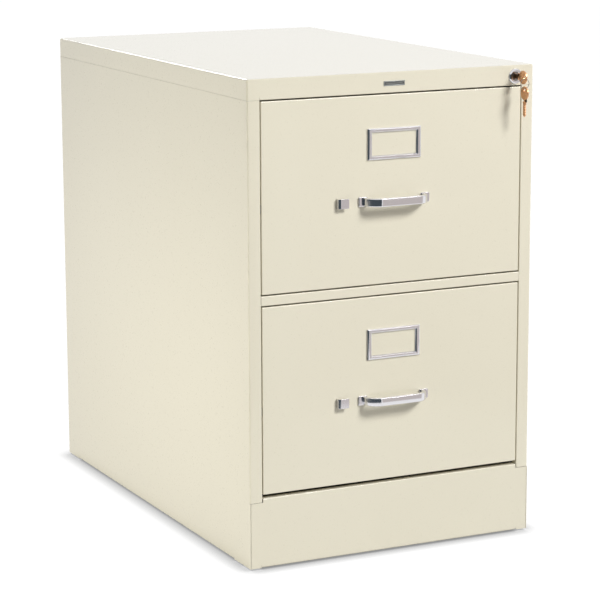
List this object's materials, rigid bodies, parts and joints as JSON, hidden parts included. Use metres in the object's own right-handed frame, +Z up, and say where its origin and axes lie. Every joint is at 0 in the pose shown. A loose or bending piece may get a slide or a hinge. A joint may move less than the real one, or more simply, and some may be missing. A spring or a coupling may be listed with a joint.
{
  "type": "filing cabinet",
  "caption": "Upright sheet-steel filing cabinet with two full-extension drawers on roller runners, bail handles, thumb latches, label frames and a cam lock with keys.",
  "frame": {"origin": "middle of the whole object's footprint, handles and keys included, on the floor", "axes": "+X to the right seen from the front, +Y to the back (the drawers open towards -Y), +Z up"},
  "size_m": [0.464, 0.777, 0.712],
  "materials": {
    "putty_paint": "baked putty enamel, satin, fine orange peel",
    "zinc_steel": "zinc-plated rolled steel",
    "nylon": "natural moulded nylon",
    "rubber": "black rubber",
    "chrome": "bright chrome plate",
    "badge_metal": "bare satin aluminium",
    "key_brass": "worn copper-toned brass",
    "spring_steel": "bright drawn spring wire"
  },
  "bodies": {
    "case": {"side_panel_left": "putty_paint", "side_panel_right": "putty_paint", "top_panel": "putty_paint", "back_panel": "putty_paint", "base_front_panel": "putty_paint", "base_rear_rail": "putty_paint", "divider_rail": "putty_paint", "top_stiffener": "zinc_steel", "front_posts": "zinc_steel", "rear_posts": "zinc_steel", "floor_glides": "nylon", "upper_case_channels": "zinc_steel", "lower_case_channels": "zinc_steel", "channel_stops": "rubber", "lock_housing": "chrome", "lock_nut": "zinc_steel", "badge_plate": "badge_metal", "lock_bar_guides": "nylon"},
    "lock_plug": {"lock_plug": "chrome", "lock_cam": "zinc_steel"},
    "key": {"key": "key_brass"},
    "key_ring": {"key_ring": "chrome"},
    "spare_key": {"spare_key": "key_brass"},
    "lock_bar": {"lock_bar": "zinc_steel"},
    "upper_drawer": {"upper_drawer_front": "putty_paint", "upper_inner_panel": "putty_paint", "upper_tray": "putty_paint", "upper_drawer_back": "putty_paint", "upper_handle": "chrome", "upper_handle_screws": "zinc_steel", "upper_label_frame": "chrome", "upper_runners": "zinc_steel", "upper_latch_spring": "spring_steel"},
    "upper_latch": {"upper_latch_tab": "chrome", "upper_latch_bar": "zinc_steel"},
    "upper_follower": {"upper_follower": "zinc_steel"},
    "upper_catch": {"upper_follower_catch": "chrome"},
    "upper_drawer_rollers": {"upper_drawer_rollers": "nylon"},
    "upper_cradle": {"upper_cradles": "zinc_steel"},
    "upper_cradle_rear_rollers": {"upper_cradle_rear_rollers": "nylon"},
    "upper_cradle_front_rollers": {"upper_cradle_front_rollers": "nylon"},
    "upper_case_rollers": {"upper_case_rollers": "nylon"},
    "lower_drawer": {"lower_drawer_front": "putty_paint", "lower_inner_panel": "putty_paint", "lower_tray": "putty_paint", "lower_drawer_back": "putty_paint", "lower_handle": "chrome", "lower_handle_screws": "zinc_steel", "lower_label_frame": "chrome", "lower_runners": "zinc_steel", "lower_latch_spring": "spring_steel"},
    "lower_latch": {"lower_latch_tab": "chrome", "lower_latch_bar": "zinc_steel"},
    "lower_follower": {"lower_follower": "zinc_steel"},
    "lower_catch": {"lower_follower_catch": "chrome"},
    "lower_drawer_rollers": {"lower_drawer_rollers": "nylon"},
    "lower_cradle": {"lower_cradles": "zinc_steel"},
    "lower_cradle_rear_rollers": {"lower_cradle_rear_rollers": "nylon"},
    "lower_cradle_front_rollers": {"lower_cradle_front_rollers": "nylon"},
    "lower_case_rollers": {"lower_case_rollers": "nylon"}
  },
  "joints": [
    {"name": "lock_turn", "type": "hinge", "parent": "case", "child": "lock_plug", "pos_m": [0.2015, -0.3515, 0.6955], "axis": [0, 1, 0], "range_deg": [0, 90]},
    {"name": "lock_bar_slide", "type": "slide", "parent": "case", "child": "lock_bar", "axis": [0, 0, -1], "range_m": [0, 0.0121]},
    {"name": "key_pull", "type": "slide", "parent": "lock_plug", "child": "key", "axis": [0, -1, 0], "range_m": [0, 0.022]},
    {"name": "key_ring_swing", "type": "hinge", "parent": "key", "child": "key_ring", "pos_m": [0.2015, -0.3785, 0.6938], "axis": [1, 0, 0], "range_deg": [-40, 12]},
    {"name": "spare_key_swing", "type": "hinge", "parent": "key_ring", "child": "spare_key", "pos_m": [0.2015, -0.3785, 0.6798], "axis": [1, 0, 0], "range_deg": [-60, 12]},
    {"name": "upper_drawer_slide", "type": "slide", "parent": "case", "child": "upper_drawer", "axis": [0, -1, 0], "range_m": [0, 0.64]},
    {"name": "upper_cradle_slide", "type": "slide", "parent": "case", "child": "upper_cradle", "axis": [0, -1, 0], "range_m": [0, 0.3205]},
    {"name": "upper_case_roller_spin", "type": "hinge", "parent": "case", "child": "upper_case_rollers", "pos_m": [0, -0.3225, 0.4633], "axis": [1, 0, 0], "range_deg": [0, 2300]},
    {"name": "upper_cradle_rear_roller_spin", "type": "hinge", "parent": "upper_cradle", "child": "upper_cradle_rear_rollers", "pos_m": [0, 0.3499, 0.463], "axis": [1, 0, 0], "range_deg": [0, 1760]},
    {"name": "upper_cradle_front_roller_spin", "type": "hinge", "parent": "upper_cradle", "child": "upper_cradle_front_rollers", "pos_m": [0, -0.3225, 0.4633], "axis": [1, 0, 0], "range_deg": [0, 2300]},
    {"name": "upper_drawer_roller_spin", "type": "hinge", "parent": "upper_drawer", "child": "upper_drawer_rollers", "pos_m": [0, 0.338, 0.463], "axis": [1, 0, 0], "range_deg": [0, 1760]},
    {"name": "upper_latch_slide", "type": "slide", "parent": "upper_drawer", "child": "upper_latch", "axis": [1, 0, 0], "range_m": [0, 0.009], "stiffness_N_per_m": 250, "springref_m": -0.004, "deforming": ["upper_latch_spring"]},
    {"name": "upper_follower_slide", "type": "slide", "parent": "upper_drawer", "child": "upper_follower", "axis": [0, -1, 0], "range_m": [0, 0.5]},
    {"name": "upper_catch_tilt", "type": "hinge", "parent": "upper_follower", "child": "upper_catch", "pos_m": [0, 0.3215, 0.4241], "axis": [1, 0, 0], "range_deg": [-10, 5], "stiffness_Nm_per_rad": 0.2},
    {"name": "lower_drawer_slide", "type": "slide", "parent": "case", "child": "lower_drawer", "axis": [0, -1, 0], "range_m": [0, 0.64]},
    {"name": "lower_cradle_slide", "type": "slide", "parent": "case", "child": "lower_cradle", "axis": [0, -1, 0], "range_m": [0, 0.3205]},
    {"name": "lower_case_roller_spin", "type": "hinge", "parent": "case", "child": "lower_case_rollers", "pos_m": [0, -0.3225, 0.1703], "axis": [1, 0, 0], "range_deg": [0, 2300]},
    {"name": "lower_cradle_rear_roller_spin", "type": "hinge", "parent": "lower_cradle", "child": "lower_cradle_rear_rollers", "pos_m": [0, 0.3499, 0.17], "axis": [1, 0, 0], "range_deg": [0, 1760]},
    {"name": "lower_cradle_front_roller_spin", "type": "hinge", "parent": "lower_cradle", "child": "lower_cradle_front_rollers", "pos_m": [0, -0.3225, 0.1703], "axis": [1, 0, 0], "range_deg": [0, 2300]},
    {"name": "lower_drawer_roller_spin", "type": "hinge", "parent": "lower_drawer", "child": "lower_drawer_rollers", "pos_m": [0, 0.338, 0.17], "axis": [1, 0, 0], "range_deg": [0, 1760]},
    {"name": "lower_latch_slide", "type": "slide", "parent": "lower_drawer", "child": "lower_latch", "axis": [1, 0, 0], "range_m": [0, 0.009], "stiffness_N_per_m": 250, "springref_m": -0.004, "deforming": ["lower_latch_spring"]},
    {"name": "lower_follower_slide", "type": "slide", "parent": "lower_drawer", "child": "lower_follower", "axis": [0, -1, 0], "range_m": [0, 0.5]},
    {"name": "lower_catch_tilt", "type": "hinge", "parent": "lower_follower", "child": "lower_catch", "pos_m": [0, 0.3215, 0.1311], "axis": [1, 0, 0], "range_deg": [-10, 5], "stiffness_Nm_per_rad": 0.2}
  ],
  "couplings": [
    {"joint": "lock_bar_slide", "follows": "lock_turn", "m_per_rad": 0.0076394},
    {"joint": "upper_cradle_slide", "follows": "upper_drawer_slide", "ratio": 0.5},
    {"joint": "upper_case_roller_spin", "follows": "upper_drawer_slide", "rad_per_m": 62.5},
    {"joint": "upper_cradle_rear_roller_spin", "follows": "upper_drawer_slide", "rad_per_m": 47.619},
    {"joint": "upper_cradle_front_roller_spin", "follows": "upper_drawer_slide", "rad_per_m": 62.5},
    {"joint": "upper_drawer_roller_spin", "follows": "upper_drawer_slide", "rad_per_m": 47.619},
    {"joint": "lower_cradle_slide", "follows": "lower_drawer_slide", "ratio": 0.5},
    {"joint": "lower_case_roller_spin", "follows": "lower_drawer_slide", "rad_per_m": 62.5},
    {"joint": "lower_cradle_rear_roller_spin", "follows": "lower_drawer_slide", "rad_per_m": 47.619},
    {"joint": "lower_cradle_front_roller_spin", "follows": "lower_drawer_slide", "rad_per_m": 62.5},
    {"joint": "lower_drawer_roller_spin", "follows": "lower_drawer_slide", "rad_per_m": 47.619}
  ]
}
